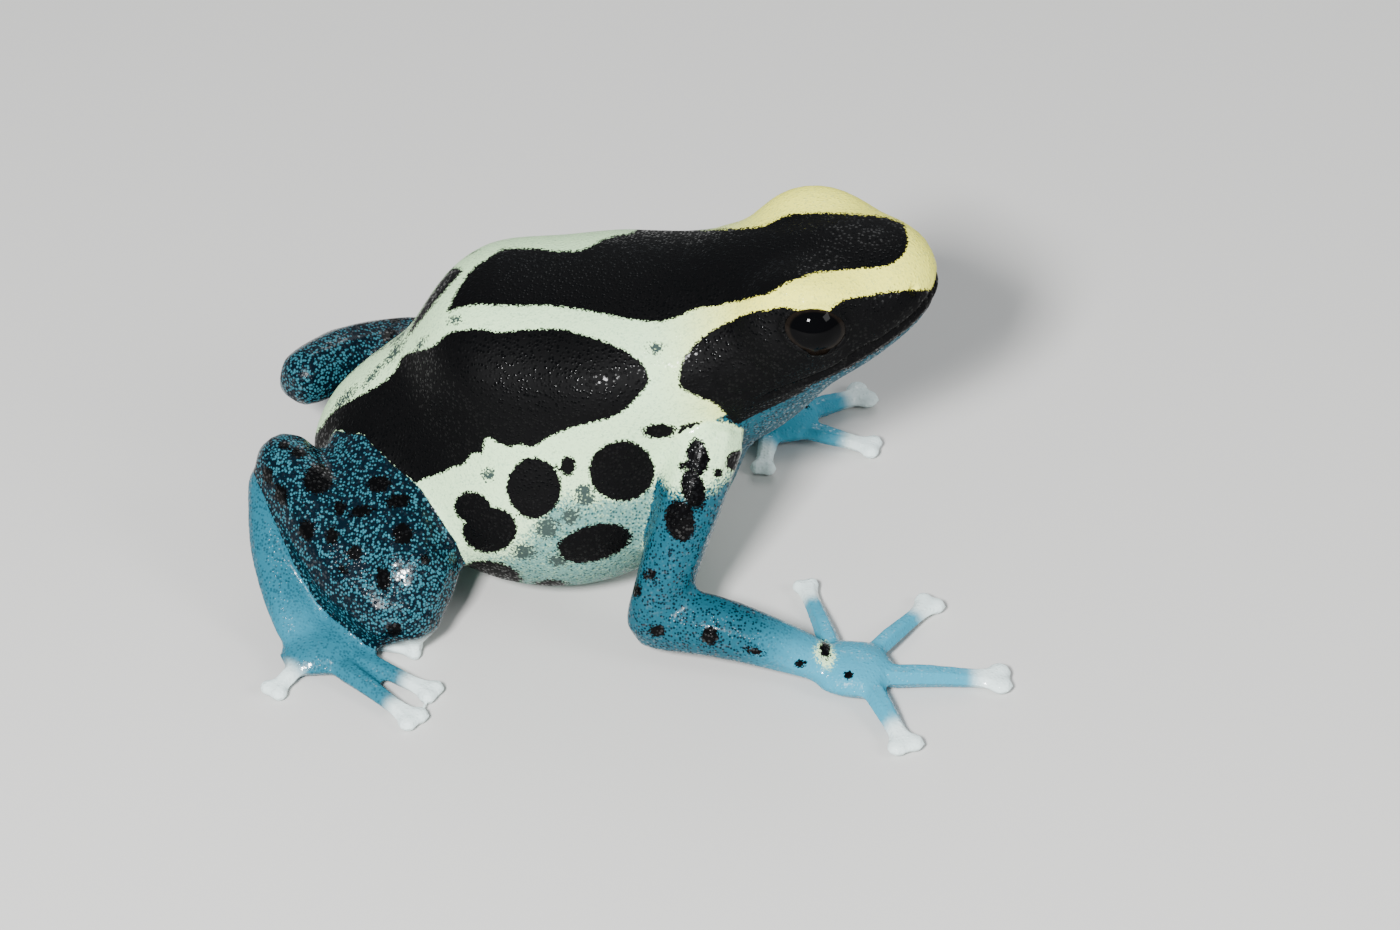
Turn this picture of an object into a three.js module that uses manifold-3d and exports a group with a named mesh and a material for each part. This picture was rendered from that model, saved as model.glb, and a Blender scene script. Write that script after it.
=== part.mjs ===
// Dyeing poison dart frog, life size, sitting still on a flat floor.
// Millimetres. +X is forward, +Y is the frog's left, +Z is up, and the floor is z = 0.
import * as THREE from 'three';
import { mergeVertices } from 'three/addons/utils/BufferGeometryUtils.js';
import Module from 'manifold-3d';

const wasm = await Module();
wasm.setup();

// The gap that keeps touching pieces apart.
const gap = 0.3;
// The ground origin is moved here, under the middle of the frog's bounding box.
const middle = [-3.76, -0.25];

// Soft masses that melt together into the trunk. pitch lifts the front end, in degrees.
const trunkForms = {
	belly: { at: [-9.0, 0, 8.0], size: [11.6, 11.4, 8.6], pitch: 6 },
	flanks: { at: [-8.6, 0, 12.6], size: [8.8, 9.0, 6.0], pitch: 4 },
	back: { at: [-6.4, 0, 16.7], size: [11.0, 8.2, 4.3], pitch: 4 },
	shoulders: { at: [-5.2, 0, 17.0], size: [5.6, 8.2, 4.4], pitch: 4 },
	hump: { at: [-12.8, 0, 16.6], size: [4.4, 7.2, 4.1], pitch: -14 },
	rump: { at: [-19.9, 0, 9.4], size: [7.4, 3.8, 3.6], pitch: 46 },
	hips: { at: [-18.0, 0, 7.6], size: [6.2, 6.8, 4.6], pitch: 24 },
	chest: { at: [-2.6, 0, 12.0], size: [5.6, 7.4, 8.6], pitch: -22 },
	neck: { at: [0.6, 0, 17.8], size: [6.5, 7.2, 4.6], pitch: 12 },
};
const trunkBlend = 3.2;

const headForms = {
	skull: { at: [5.4, 0, 20.4], size: [6.8, 6.9, 4.7], pitch: 12 },
	snout: { at: [10.0, 0, 22.8], size: [5.0, 5.2, 3.3], pitch: 2 },
	jaw: { at: [6.9, 0, 19.8], size: [7.7, 5.9, 3.2], pitch: 27 },
};
const headBlend = 2.2;
const throat = { at: [3.2, 0, 15.6], size: [5.4, 5.2, 4.4], pitch: 34 };

// Eyes: a ball in a domed socket, with a round opening between the two lids.
const eye = {
	at: [7.6, 4.7, 22.6],
	radius: 2.5,
	dome: { at: [7.0, 4.6, 22.9], size: [3.7, 2.9, 2.9] },
	opening: { wide: 2.25, tall: 1.45 },
	facing: [0.22, 0.93, 0.3],
};
const eyeBlend = 1.6;

// The thin cut that parts the head from the torso.
const neckCut = { at: [1.6, 0, 18], pitch: 18 };

// The line of the mouth runs up from the corners of the jaw to the tip of the snout.
const mouth = { tip: [15, 23.0], pitch: 27, length: 11.8, height: 0.34, depth: 0.45 };
const nostril = { toward: [0.81, 0.31, 0.5], radius: 0.36 };
const eardrum = { toward: [-0.38, 0.92, 0.0], radius: 1.25, groove: 0.22 };

// Joints of the limbs. y is measured outward from the midline; wide and deep are half sizes.
const limbs = {
	right: {
		side: -1,
		upperArm: [
			{ at: [1.2, 6.8, 13.8], wide: 2.5, deep: 2.7 },
			{ at: [0.4, 9.4, 10.4], wide: 2.1, deep: 2.3 },
			{ at: [-1.0, 11.3, 5.6], wide: 1.8, deep: 2.0 },
			{ at: [-1.5, 11.8, 3.3], wide: 1.8, deep: 2.0 },
		],
		forearm: [
			{ at: [-1.3, 11.5, 2.9], wide: 2.1, deep: 2.1 },
			{ at: [2.2, 12.2, 3.3], wide: 2.1, deep: 2.1 },
			{ at: [6.2, 12.7, 2.6], wide: 1.8, deep: 1.7 },
			{ at: [8.8, 12.9, 1.8], wide: 1.6, deep: 1.3 },
		],
		palm: { at: [11.3, 12.9, 1.15], size: [2.9, 2.6, 1.25], yaw: 0 },
		fingers: [
			{ base: [9.8, 10.8, 1.0], tip: [7.5, 4.3, 0.55], wide: 0.72, disc: 0.95 },
			{ base: [12.2, 11.6, 1.0], tip: [15.6, 5.1, 0.55], wide: 0.76, disc: 1.15 },
			{ base: [13.2, 13.2, 1.0], tip: [20.6, 12.0, 0.55], wide: 0.85, disc: 1.45 },
			{ base: [12.8, 14.6, 1.0], tip: [15.3, 19.0, 0.55], wide: 0.8, disc: 1.3 },
		],
		thigh: [
			{ at: [-20.8, 3.6, 7.6], wide: 3.7, deep: 3.4 },
			{ at: [-18.8, 8.0, 6.3], wide: 4.1, deep: 3.6 },
			{ at: [-17.5, 11.2, 4.6], wide: 3.4, deep: 3.4 },
			{ at: [-17.5, 12.7, 3.3], wide: 2.7, deep: 2.8 },
		],
		shank: [
			{ at: [-18.4, 12.9, 3.3], wide: 2.7, deep: 2.7 },
			{ at: [-21.0, 11.1, 4.5], wide: 2.9, deep: 2.8 },
			{ at: [-24.0, 7.9, 6.9], wide: 2.7, deep: 2.6 },
			{ at: [-26.3, 5.4, 8.3], wide: 2.2, deep: 2.2 },
		],
		tarsus: [
			{ at: [-27.6, 5.9, 7.2], wide: 1.3, deep: 1.3 },
			{ at: [-26.8, 9.2, 4.9], wide: 1.5, deep: 1.3 },
			{ at: [-25.3, 12.2, 2.7], wide: 1.6, deep: 1.2 },
			{ at: [-24.2, 13.6, 1.7], wide: 1.8, deep: 1.1 },
		],
		sole: { at: [-22.6, 14.9, 1.05], size: [3.0, 2.3, 1.15], yaw: -38 },
		toes: [
			{ base: [-21.3, 12.9, 0.9], tip: [-18.6, 10.6, 0.5], wide: 0.6, disc: 0.8 },
			{ base: [-20.9, 13.6, 0.9], tip: [-16.9, 13.6, 0.5], wide: 0.64, disc: 0.9 },
			{ base: [-20.8, 15.2, 0.9], tip: [-15.2, 17.6, 0.5], wide: 0.72, disc: 1.1 },
			{ base: [-21.4, 16.3, 0.9], tip: [-15.9, 20.3, 0.5], wide: 0.76, disc: 1.2 },
			{ base: [-23.4, 16.0, 0.9], tip: [-25.0, 18.6, 0.5], wide: 0.74, disc: 1.05 },
		],
	},
	left: {
		side: 1,
		upperArm: [
			{ at: [1.0, 6.6, 14.4], wide: 2.5, deep: 2.7 },
			{ at: [-1.6, 9.8, 11.4], wide: 2.1, deep: 2.3 },
			{ at: [-5.2, 13.2, 7.4], wide: 1.8, deep: 2.0 },
			{ at: [-6.6, 14.2, 5.6], wide: 1.8, deep: 2.0 },
		],
		forearm: [
			{ at: [-6.6, 14.3, 4.9], wide: 2.0, deep: 2.0 },
			{ at: [-3.6, 14.0, 3.9], wide: 2.0, deep: 1.9 },
			{ at: [-0.2, 13.3, 2.4], wide: 1.6, deep: 1.5 },
			{ at: [1.6, 12.9, 1.6], wide: 1.5, deep: 1.2 },
		],
		palm: { at: [3.9, 12.9, 1.15], size: [2.9, 2.6, 1.25], yaw: 0 },
		fingers: [
			{ base: [3.4, 11.0, 1.0], tip: [3.3, 8.0, 0.55], wide: 0.72, disc: 0.95 },
			{ base: [5.2, 11.8, 1.0], tip: [10.2, 11.1, 0.55], wide: 0.76, disc: 1.15 },
			{ base: [5.4, 13.6, 1.0], tip: [9.0, 16.7, 0.55], wide: 0.85, disc: 1.45 },
			{ base: [3.8, 14.8, 1.0], tip: [4.2, 19.2, 0.55], wide: 0.8, disc: 1.3 },
		],
		thigh: [
			{ at: [-20.8, 3.6, 7.2], wide: 3.0, deep: 3.0 },
			{ at: [-18.7, 8.0, 6.4], wide: 3.8, deep: 3.4 },
			{ at: [-17.8, 11.2, 4.8], wide: 3.2, deep: 3.2 },
			{ at: [-18.0, 12.6, 3.6], wide: 2.5, deep: 2.7 },
		],
		shank: [
			{ at: [-19.0, 13.2, 3.8], wide: 2.7, deep: 2.9 },
			{ at: [-21.6, 11.3, 5.3], wide: 2.8, deep: 2.6 },
			{ at: [-25.0, 8.0, 7.0], wide: 2.4, deep: 2.2 },
			{ at: [-27.0, 5.6, 7.2], wide: 2.0, deep: 2.1 },
		],
		tarsus: [
			{ at: [-27.9, 6.2, 6.2], wide: 1.3, deep: 1.3 },
			{ at: [-26.6, 9.4, 4.7], wide: 1.5, deep: 1.3 },
			{ at: [-24.4, 12.2, 2.6], wide: 1.6, deep: 1.2 },
			{ at: [-23.0, 13.4, 1.7], wide: 1.8, deep: 1.1 },
		],
		sole: { at: [-21.4, 14.4, 1.05], size: [3.0, 2.3, 1.15], yaw: -34 },
		toes: [
			{ base: [-20.0, 12.6, 0.9], tip: [-17.2, 10.5, 0.5], wide: 0.6, disc: 0.8 },
			{ base: [-19.6, 13.2, 0.9], tip: [-15.6, 13.4, 0.5], wide: 0.64, disc: 0.9 },
			{ base: [-19.6, 14.6, 0.9], tip: [-14.0, 17.0, 0.5], wide: 0.72, disc: 1.1 },
			{ base: [-20.2, 15.8, 0.9], tip: [-14.9, 19.8, 0.5], wide: 0.76, disc: 1.2 },
			{ base: [-22.0, 15.4, 0.9], tip: [-23.2, 18.2, 0.5], wide: 0.74, disc: 1.05 },
		],
	},
};

// How finely each kind of piece is cut into faces.
const detail = { torso: 10, head: 10, palm: 2, eye: 3, lobeSides: 8, limbSides: 10, digitSides: 6 };

const colours = {
	back: 0x10110f,
	head: 0xe8e08a,
	blue: 0x2f6f8e,
	navy: 0x1b3a52,
	pale: 0x9fc8d6,
	eye: 0x050505,
};

function skin(colour, roughness = 0.4) {
	return new THREE.MeshStandardMaterial({ color: colour, roughness, metalness: 0 });
}

// Booleans between closed meshes.

function toSolid(geometry) {
	const bare = geometry.clone();
	bare.deleteAttribute('normal');
	bare.deleteAttribute('uv');
	const merged = mergeVertices(bare, 1e-5);
	return new wasm.Manifold(new wasm.Mesh({
		numProp: 3,
		vertProperties: new Float32Array(merged.attributes.position.array),
		triVerts: new Uint32Array(merged.index.array),
	}));
}

function toGeometry(solid) {
	const data = solid.getMesh();
	const geometry = new THREE.BufferGeometry();
	geometry.setAttribute('position', new THREE.BufferAttribute(data.vertProperties, 3));
	geometry.setIndex(new THREE.BufferAttribute(data.triVerts, 1));
	geometry.computeVertexNormals();
	return geometry;
}

function largest(solid) {
	const loose = solid.decompose();
	return loose.reduce((best, next) => (next.volume() > best.volume() ? next : best));
}

function joined(solids) {
	return solids.reduce((sum, next) => sum.add(next));
}

function without(solid, others) {
	return largest(others.reduce((rest, next) => rest.subtract(next), solid));
}

// Everything is trimmed flat where it meets the floor.
const air = toSolid(new THREE.BoxGeometry(120, 120, 60).translate(0, 0, 30));

// Rounded forms, described by how far a point lies outside them.

function ellipsoid({ at, size, pitch = 0, yaw = 0 }) {
	const turn = new THREE.Matrix4().makeRotationFromEuler(
		new THREE.Euler(0, -THREE.MathUtils.degToRad(pitch), THREE.MathUtils.degToRad(yaw), 'ZYX'));
	const back = turn.setPosition(...at).invert();
	return (point) => {
		const p = point.clone().applyMatrix4(back);
		const near = Math.hypot(p.x / size[0], p.y / size[1], p.z / size[2]);
		const slope = Math.hypot(p.x / size[0] ** 2, p.y / size[1] ** 2, p.z / size[2] ** 2);
		return slope < 1e-9 ? -Math.min(...size) : near * (near - 1) / slope;
	};
}

function melt(forms, blend) {
	return (point) => forms.map((form) => form(point)).reduce((a, b) => {
		const near = Math.max(blend - Math.abs(a - b), 0) / blend;
		return Math.min(a, b) - near * near * blend / 4;
	});
}

// The farthest distance along a ray from the centre where the form, grown by grow, still is.
function reach(form, centre, direction, grow) {
	let inside = 0;
	let outside = 40;
	for (let i = 0; i < 26; i++) {
		const half = (inside + outside) / 2;
		const point = centre.clone().addScaledVector(direction, half);
		if (form(point) < grow) inside = half;
		else outside = half;
	}
	return inside;
}

function cast(form, at, fineness, grow = 0) {
	const centre = new THREE.Vector3(...at);
	const ball = new THREE.IcosahedronGeometry(1, fineness);
	ball.deleteAttribute('normal');
	ball.deleteAttribute('uv');
	const geometry = mergeVertices(ball, 1e-5);
	const spots = geometry.attributes.position;
	const direction = new THREE.Vector3();
	for (let i = 0; i < spots.count; i++) {
		direction.fromBufferAttribute(spots, i).normalize();
		const far = reach(form, centre, direction, grow);
		spots.setXYZ(i, centre.x + direction.x * far, centre.y + direction.y * far, centre.z + direction.z * far);
	}
	return toSolid(geometry);
}

// A rounded tube through a limb's joints. wide lies along the ground side, deep across it.
function limb(joints, side, grow = 0, sides = detail.limbSides) {
	const places = joints.map(({ at }) => new THREE.Vector3(at[0], at[1] * side, at[2]));
	const curve = new THREE.CatmullRomCurve3(places, false, 'centripetal');
	const sizes = new THREE.CatmullRomCurve3(
		joints.map(({ wide, deep }) => new THREE.Vector3(wide + grow, deep + grow, 0)), false, 'centripetal');
	const steps = (joints.length - 1) * 2;
	const dome = [0.5, 0.9];
	const rings = [];
	const ring = (t, push, shrink) => {
		const size = sizes.getPoint(t);
		const along = curve.getTangent(t);
		const middle = curve.getPoint(t).addScaledVector(along, push * Math.min(size.x, size.y));
		const across = new THREE.Vector3(0, 0, 1).cross(along).normalize();
		if (across.lengthSq() < 0.01) across.set(0, 1, 0);
		const up = along.clone().cross(across);
		const points = [];
		for (let i = 0; i < sides; i++) {
			const angle = i / sides * Math.PI * 2;
			points.push(middle.clone()
				.addScaledVector(across, Math.cos(angle) * size.x * shrink)
				.addScaledVector(up, Math.sin(angle) * size.y * shrink));
		}
		rings.push(points);
	};
	for (const round of dome) ring(0, -Math.sqrt(1 - round * round), round);
	for (let i = 0; i <= steps; i++) ring(i / steps, 0, 1);
	for (const round of [...dome].reverse()) ring(1, Math.sqrt(1 - round * round), round);
	return toSolid(skinRings(rings));
}

// Skins a row of rings into one closed surface with flat ends.
function skinRings(rings) {
	const sides = rings[0].length;
	const spots = rings.flat().flatMap((point) => point.toArray());
	const faces = [];
	for (let r = 0; r < rings.length - 1; r++) {
		for (let i = 0; i < sides; i++) {
			const next = (i + 1) % sides;
			const a = r * sides + i;
			const b = r * sides + next;
			faces.push(a, b, b + sides, a, b + sides, a + sides);
		}
	}
	const last = (rings.length - 1) * sides;
	for (let i = 1; i < sides - 1; i++) {
		faces.push(0, i + 1, i);
		faces.push(last, last + i, last + i + 1);
	}
	const geometry = new THREE.BufferGeometry();
	geometry.setAttribute('position', new THREE.Float32BufferAttribute(spots, 3));
	geometry.setIndex(faces);
	return geometry;
}

// A finger or toe: a slim shaft that flares into a flat pad with two rounded lobes.
function digit({ base, tip, wide, disc }, side, grow = 0) {
	const start = new THREE.Vector3(...base);
	const end = new THREE.Vector3(...tip);
	const along = (share, lift = 0) => start.clone().lerp(end, share).setZ(
		THREE.MathUtils.lerp(base[2], tip[2], share) + lift).toArray();
	const shaft = limb([
		{ at: along(-0.12), wide: wide * 1.15, deep: wide * 1.05 },
		{ at: along(0.35, 0.12), wide, deep: wide * 0.9 },
		{ at: along(0.78), wide: wide * 0.86, deep: wide * 0.72 },
		{ at: along(0.97), wide: disc * 0.82, deep: 0.5 },
	], side, grow, detail.digitSides);
	const heading = end.clone().sub(start).setZ(0).normalize();
	const lobes = [-1, 1].map((hand) => {
		const at = [
			end.x + heading.x * disc * 0.12 - heading.y * hand * disc * 0.42,
			end.y + heading.y * disc * 0.12 + heading.x * hand * disc * 0.42,
			tip[2],
		];
		const size = disc * 0.6 + grow;
		const form = new THREE.SphereGeometry(1, detail.lobeSides, 4).rotateX(Math.PI / 2);
		form.scale(size, size, 0.5 + grow);
		return toSolid(form.translate(at[0], at[1] * side, at[2]));
	});
	return joined([shaft, ...lobes]);
}

// Places a shape whose own axis is Z so that it points along a direction.
function aimed(geometry, at, direction) {
	const turn = new THREE.Quaternion().setFromUnitVectors(
		new THREE.Vector3(0, 0, 1), new THREE.Vector3(...direction).normalize());
	return geometry.applyQuaternion(turn).translate(...at);
}

const mirrored = (point, side) => [point[0], point[1] * side, point[2]];

// The whole body without its limbs.
const eyeDomes = [1, -1].map((side) => ellipsoid({
	at: mirrored(eye.dome.at, side),
	size: eye.dome.size,
}));
const trunkField = melt(Object.values(trunkForms).map(ellipsoid), trunkBlend);
const headField = melt(Object.values(headForms).map(ellipsoid), headBlend);
const bodyField = melt([
	melt([trunkField, ellipsoid(throat), headField], 2.6),
	...eyeDomes,
], eyeBlend);
const headCentre = [6.4, 0, 19.4];
const torsoCentre = [-8, 0, 10.5];

function neckSide(sign) {
	const box = new THREE.BoxGeometry(60, 60, 60).translate(sign * (30 + gap / 2), 0, 0);
	box.rotateY(-THREE.MathUtils.degToRad(neckCut.pitch));
	return toSolid(box.translate(...neckCut.at));
}

function torso(grow = 0) {
	return cast(bodyField, torsoCentre, detail.torso, grow);
}

function eyeball(side, grow = 0) {
	const ball = new THREE.IcosahedronGeometry(eye.radius + grow, detail.eye);
	return toSolid(ball.translate(...mirrored(eye.at, side)));
}

function eyeOpening(side) {
	const { wide, tall } = eye.opening;
	const shape = new THREE.CylinderGeometry(1, 1, 8, 24).rotateX(Math.PI / 2);
	shape.scale(wide, tall, 1).translate(0, 0, 4 + eye.radius * 0.4);
	return toSolid(aimed(shape, mirrored(eye.at, side), mirrored(eye.facing, side)));
}

function mouthGroove() {
	const slab = new THREE.BoxGeometry(mouth.length, 24, mouth.height);
	slab.translate(1 - mouth.length / 2, 0, 0);
	slab.rotateY(-THREE.MathUtils.degToRad(mouth.pitch));
	slab.translate(mouth.tip[0], 0, mouth.tip[1]);
	return toSolid(slab).subtract(cast(bodyField, headCentre, 6, -mouth.depth));
}

function onHead(toward) {
	const centre = new THREE.Vector3(...headCentre);
	const direction = new THREE.Vector3(...toward).normalize();
	return centre.addScaledVector(direction, reach(bodyField, centre.clone(), direction, 0)).toArray();
}

// The way the body's surface faces at a point, from how its field rises nearby.
function facing(at) {
	return [0, 1, 2].map((axis) => {
		const ahead = new THREE.Vector3(...at);
		const behind = ahead.clone();
		ahead.setComponent(axis, at[axis] + 0.1);
		behind.setComponent(axis, at[axis] - 0.1);
		return bodyField(ahead) - bodyField(behind);
	});
}

function nostrilPit(side) {
	const toward = mirrored(nostril.toward, side);
	const pit = new THREE.IcosahedronGeometry(nostril.radius, 1);
	return toSolid(pit.translate(...onHead(toward)));
}

function eardrumGroove(side) {
	const at = onHead(mirrored(eardrum.toward, side));
	const ring = new THREE.TorusGeometry(eardrum.radius, eardrum.groove, 4, 14);
	return toSolid(aimed(ring, at, facing(at)));
}

function head() {
	const whole = cast(bodyField, headCentre, detail.head).intersect(neckSide(1));
	const cuts = [mouthGroove()];
	for (const side of [1, -1]) {
		cuts.push(eyeball(side, gap), eyeOpening(side), nostrilPit(side), eardrumGroove(side));
	}
	return without(whole, cuts);
}

// Hands and feet.
function pad(part, side, grow = 0) {
	const at = mirrored(part.at, side);
	return cast(ellipsoid({ at, size: part.size, yaw: part.yaw * side }), at, detail.palm, grow);
}

const group = new THREE.Group();

function add(name, solid, colour, roughness) {
	const mesh = new THREE.Mesh(toGeometry(largest(solid.intersect(air))), skin(colour, roughness));
	mesh.name = name;
	mesh.position.set(-middle[0], -middle[1], 0);
	group.add(mesh);
}

function addLimbs(name, pose) {
	const { side } = pose;
	const body = torso(gap);
	const jawSide = cast(bodyField, headCentre, 8, gap);
	const upperArm = without(limb(pose.upperArm, side), [body, jawSide]);
	const forearm = without(limb(pose.forearm, side), [limb(pose.upperArm, side, gap), body]);
	const palm = without(pad(pose.palm, side), [limb(pose.forearm, side, gap)]);
	add(`upper_arm_${name}`, upperArm, colours.blue);
	add(`forearm_${name}`, forearm, colours.blue);
	add(`hand_${name}`, palm, colours.blue);
	addDigits(`finger_${name}`, pose.fingers, side, [pad(pose.palm, side, gap), limb(pose.forearm, side, gap)]);

	const thighGrown = limb(pose.thigh, side, gap);
	const shankGrown = limb(pose.shank, side, gap);
	const tarsusGrown = limb(pose.tarsus, side, gap);
	add(`thigh_${name}`, without(limb(pose.thigh, side), [body]), colours.navy);
	add(`shank_${name}`, without(limb(pose.shank, side), [body, thighGrown]), colours.navy);
	add(`tarsus_${name}`, without(limb(pose.tarsus, side), [body, thighGrown, shankGrown]), colours.blue);
	const ankle = [thighGrown, shankGrown, tarsusGrown];
	add(`foot_${name}`, without(pad(pose.sole, side), ankle), colours.blue);
	addDigits(`toe_${name}`, pose.toes, side, [pad(pose.sole, side, gap), ...ankle]);
}

function addDigits(name, digits, side, roots) {
	digits.forEach((spec, index) => {
		const earlier = digits.slice(0, index).map((other) => digit(other, side, gap));
		add(`${name}_${index + 1}`, without(digit(spec, side), [...roots, ...earlier]), colours.pale);
	});
}

add('torso', torso().intersect(neckSide(-1)), colours.back);
add('head', head(), colours.head);
for (const [name, side] of [['right', -1], ['left', 1]]) {
	add(`eye_${name}`, eyeball(side), colours.eye, 0.05);
	addLimbs(name, limbs[name]);
}

export default group;
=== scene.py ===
import math
import bpy
import numpy as np
from mathutils import Matrix, Vector
from mathutils.bvhtree import BVHTree


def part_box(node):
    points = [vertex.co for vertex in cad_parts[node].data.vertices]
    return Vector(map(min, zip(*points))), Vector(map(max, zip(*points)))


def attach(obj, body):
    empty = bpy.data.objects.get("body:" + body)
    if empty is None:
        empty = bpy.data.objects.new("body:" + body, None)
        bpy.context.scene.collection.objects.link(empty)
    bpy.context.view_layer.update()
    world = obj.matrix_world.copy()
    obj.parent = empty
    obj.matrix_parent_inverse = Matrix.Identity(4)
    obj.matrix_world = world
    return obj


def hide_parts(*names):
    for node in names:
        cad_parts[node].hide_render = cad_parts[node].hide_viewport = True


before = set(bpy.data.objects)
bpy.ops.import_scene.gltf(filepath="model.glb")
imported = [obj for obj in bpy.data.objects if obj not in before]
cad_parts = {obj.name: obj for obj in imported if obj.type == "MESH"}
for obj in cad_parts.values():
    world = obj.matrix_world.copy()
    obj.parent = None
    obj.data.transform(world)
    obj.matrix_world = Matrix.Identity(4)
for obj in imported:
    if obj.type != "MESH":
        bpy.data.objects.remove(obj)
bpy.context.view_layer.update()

# Lengths are in mm and angles in degrees unless a note says otherwise. Arrays of points are in mm too,
# and mm turns them into Blender's metres. x runs forward, y to the frog's left and z up.

mm = 0.001
midline = 0.25                      # y of the frog's middle

# camera: a long lens, above and a little ahead of square on to the frog's right side

photoSize = (1400, 930)             # pixels
cameraView = {
    "lens": 135,
    "sensor": 36,
    "around": 7,
    "above": 38,
    "distance": 343,
    "target": (3.76, 0.25, 6.6),
    "clipStart": 0.01,              # m
}
around = math.radians(cameraView["around"])
above = math.radians(cameraView["above"])
viewRight = Vector((math.cos(around), math.sin(around), 0))
viewAway = Vector((-math.sin(around) * math.cos(above), math.cos(around) * math.cos(above),
                   -math.sin(above)))
viewUp = viewRight.cross(viewAway)
viewPlace = Vector(cameraView["target"]) - viewAway * cameraView["distance"]


def makeCamera():
    print("camera")
    bpy.ops.object.camera_add(location=viewPlace * mm)
    camera = bpy.context.object
    camera.name = "photoCamera"
    camera.rotation_euler = Matrix((viewRight, viewUp, -viewAway)).transposed().to_euler()
    camera.data.lens = cameraView["lens"]
    camera.data.sensor_width = cameraView["sensor"]
    camera.data.clip_start = cameraView["clipStart"]
    bpy.context.scene.camera = camera


# helpers that pick pieces, finish them with modifiers, and read and write their points

def deselectAll():
    if bpy.context.object and bpy.context.object.mode != "OBJECT":
        bpy.ops.object.mode_set(mode="OBJECT")
    bpy.ops.object.select_all(action="DESELECT")


def pick(piece):
    deselectAll()
    piece.select_set(True)
    bpy.context.view_layer.objects.active = piece


def applyModifier(piece, kind, **settings):
    pick(piece)
    modifier = piece.modifiers.new(kind.lower(), kind)
    for name, value in settings.items():
        setattr(modifier, name, value)
    bpy.ops.object.modifier_apply(modifier=modifier.name)


def mergedCopy(nodeNames, title):
    deselectAll()
    for name in nodeNames:
        copy = bpy.data.objects.new(title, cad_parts[name].data.copy())
        bpy.context.scene.collection.objects.link(copy)
        copy.select_set(True)
        bpy.context.view_layer.objects.active = copy
    bpy.ops.object.join()
    whole = bpy.context.object
    whole.name = title
    whole.data.materials.clear()
    bpy.ops.object.mode_set(mode="EDIT")
    bpy.ops.mesh.select_all(action="SELECT")
    bpy.ops.mesh.remove_doubles(threshold=1e-6)
    bpy.ops.object.mode_set(mode="OBJECT")
    return whole


def readPoints(piece):
    values = np.empty(len(piece.data.vertices) * 3, dtype=np.float32)
    piece.data.vertices.foreach_get("co", values)
    return values.reshape(-1, 3).astype(float) / mm


def readNormals(piece):
    values = np.empty(len(piece.data.vertices) * 3, dtype=np.float32)
    piece.data.vertex_normals.foreach_get("vector", values)
    return values.reshape(-1, 3).astype(float)


def writePoints(piece, spots):
    piece.data.vertices.foreach_set("co", (spots * mm).astype(np.float32).ravel())
    piece.data.update()


def writeField(piece, name, values):
    field = piece.data.attributes.new(name, "FLOAT", "POINT")
    field.data.foreach_set("value", values.astype(np.float32))


def writeWeights(piece, name, values, levels=16):
    group = piece.vertex_groups.new(name=name)
    nearest = np.round(np.clip(values, 0, 1) * levels).astype(int)
    for level in range(1, levels + 1):
        chosen = np.nonzero(nearest == level)[0].tolist()
        if chosen:
            group.add(chosen, level / levels, "REPLACE")


def boxMiddle(node):
    low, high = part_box(node)
    return np.array((low + high) / 2) / mm


def smoothStep(value, low, high):
    share = np.clip((value - low) / (high - low), 0, 1)
    return share * share * (3 - 2 * share)


def hill(distance, width):
    return np.exp(-(distance / width) ** 2)


def unionOf(fields):
    return np.maximum.reduce(fields)


def nearestOf(near, *names):
    return np.minimum.reduce([near[name] for name in names])


# skin: one surface over all the flesh, smoothed least where forms are fine

skinMake = {
    "swell": 0.24,                  # closes the thin cuts between the nodes, then comes off again
    "voxel": 0.17,
    "faces": 185000,
    "smoothing": 0.5,
    "fineRounds": 8,                # all over
    "bodyRounds": 70,               # on the trunk, away from the limbs
    "limbRounds": 34,               # on trunk and limbs, away from the digits
    "headFade": (0.8, 2.5),         # how far from the head, limbs and digits they set in
    "bodyFade": (0.2, 1.6),
    "limbFade": (0.3, 1.6),
}

fleshNodes = [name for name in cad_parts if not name.startswith("eye")]
regions = {
    "trunk": ("torso",),
    "head": ("head",),
    "upperArm": ("upper_arm",),
    "forearm": ("forearm",),
    "hand": ("hand", "finger"),
    "thigh": ("thigh",),
    "shank": ("shank",),
    "tarsus": ("tarsus",),
    "foot": ("foot", "toe"),
    "digit": ("finger", "toe"),
}


def distanceTo(spots, starts):
    corners = []
    faces = []
    for name in fleshNodes:
        if name.startswith(starts):
            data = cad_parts[name].data
            first = len(corners)
            corners += [vertex.co.copy() for vertex in data.vertices]
            faces += [[first + index for index in face.vertices] for face in data.polygons]
    tree = BVHTree.FromPolygons(corners, faces)
    return np.array([tree.find_nearest(Vector(spot) * mm)[3] for spot in spots]) / mm


def makeSkin():
    print("skin")
    skin = mergedCopy(fleshNodes, "frogSkin")
    applyModifier(skin, "DISPLACE", strength=skinMake["swell"] * mm, mid_level=0)
    applyModifier(skin, "REMESH", mode="VOXEL", voxel_size=skinMake["voxel"] * mm)
    applyModifier(skin, "DISPLACE", strength=-skinMake["swell"] * mm, mid_level=0)
    applyModifier(skin, "SMOOTH", factor=skinMake["smoothing"], iterations=skinMake["fineRounds"])
    applyModifier(skin, "DECIMATE", ratio=min(1, skinMake["faces"] / (2 * len(skin.data.polygons))))
    return skin


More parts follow.
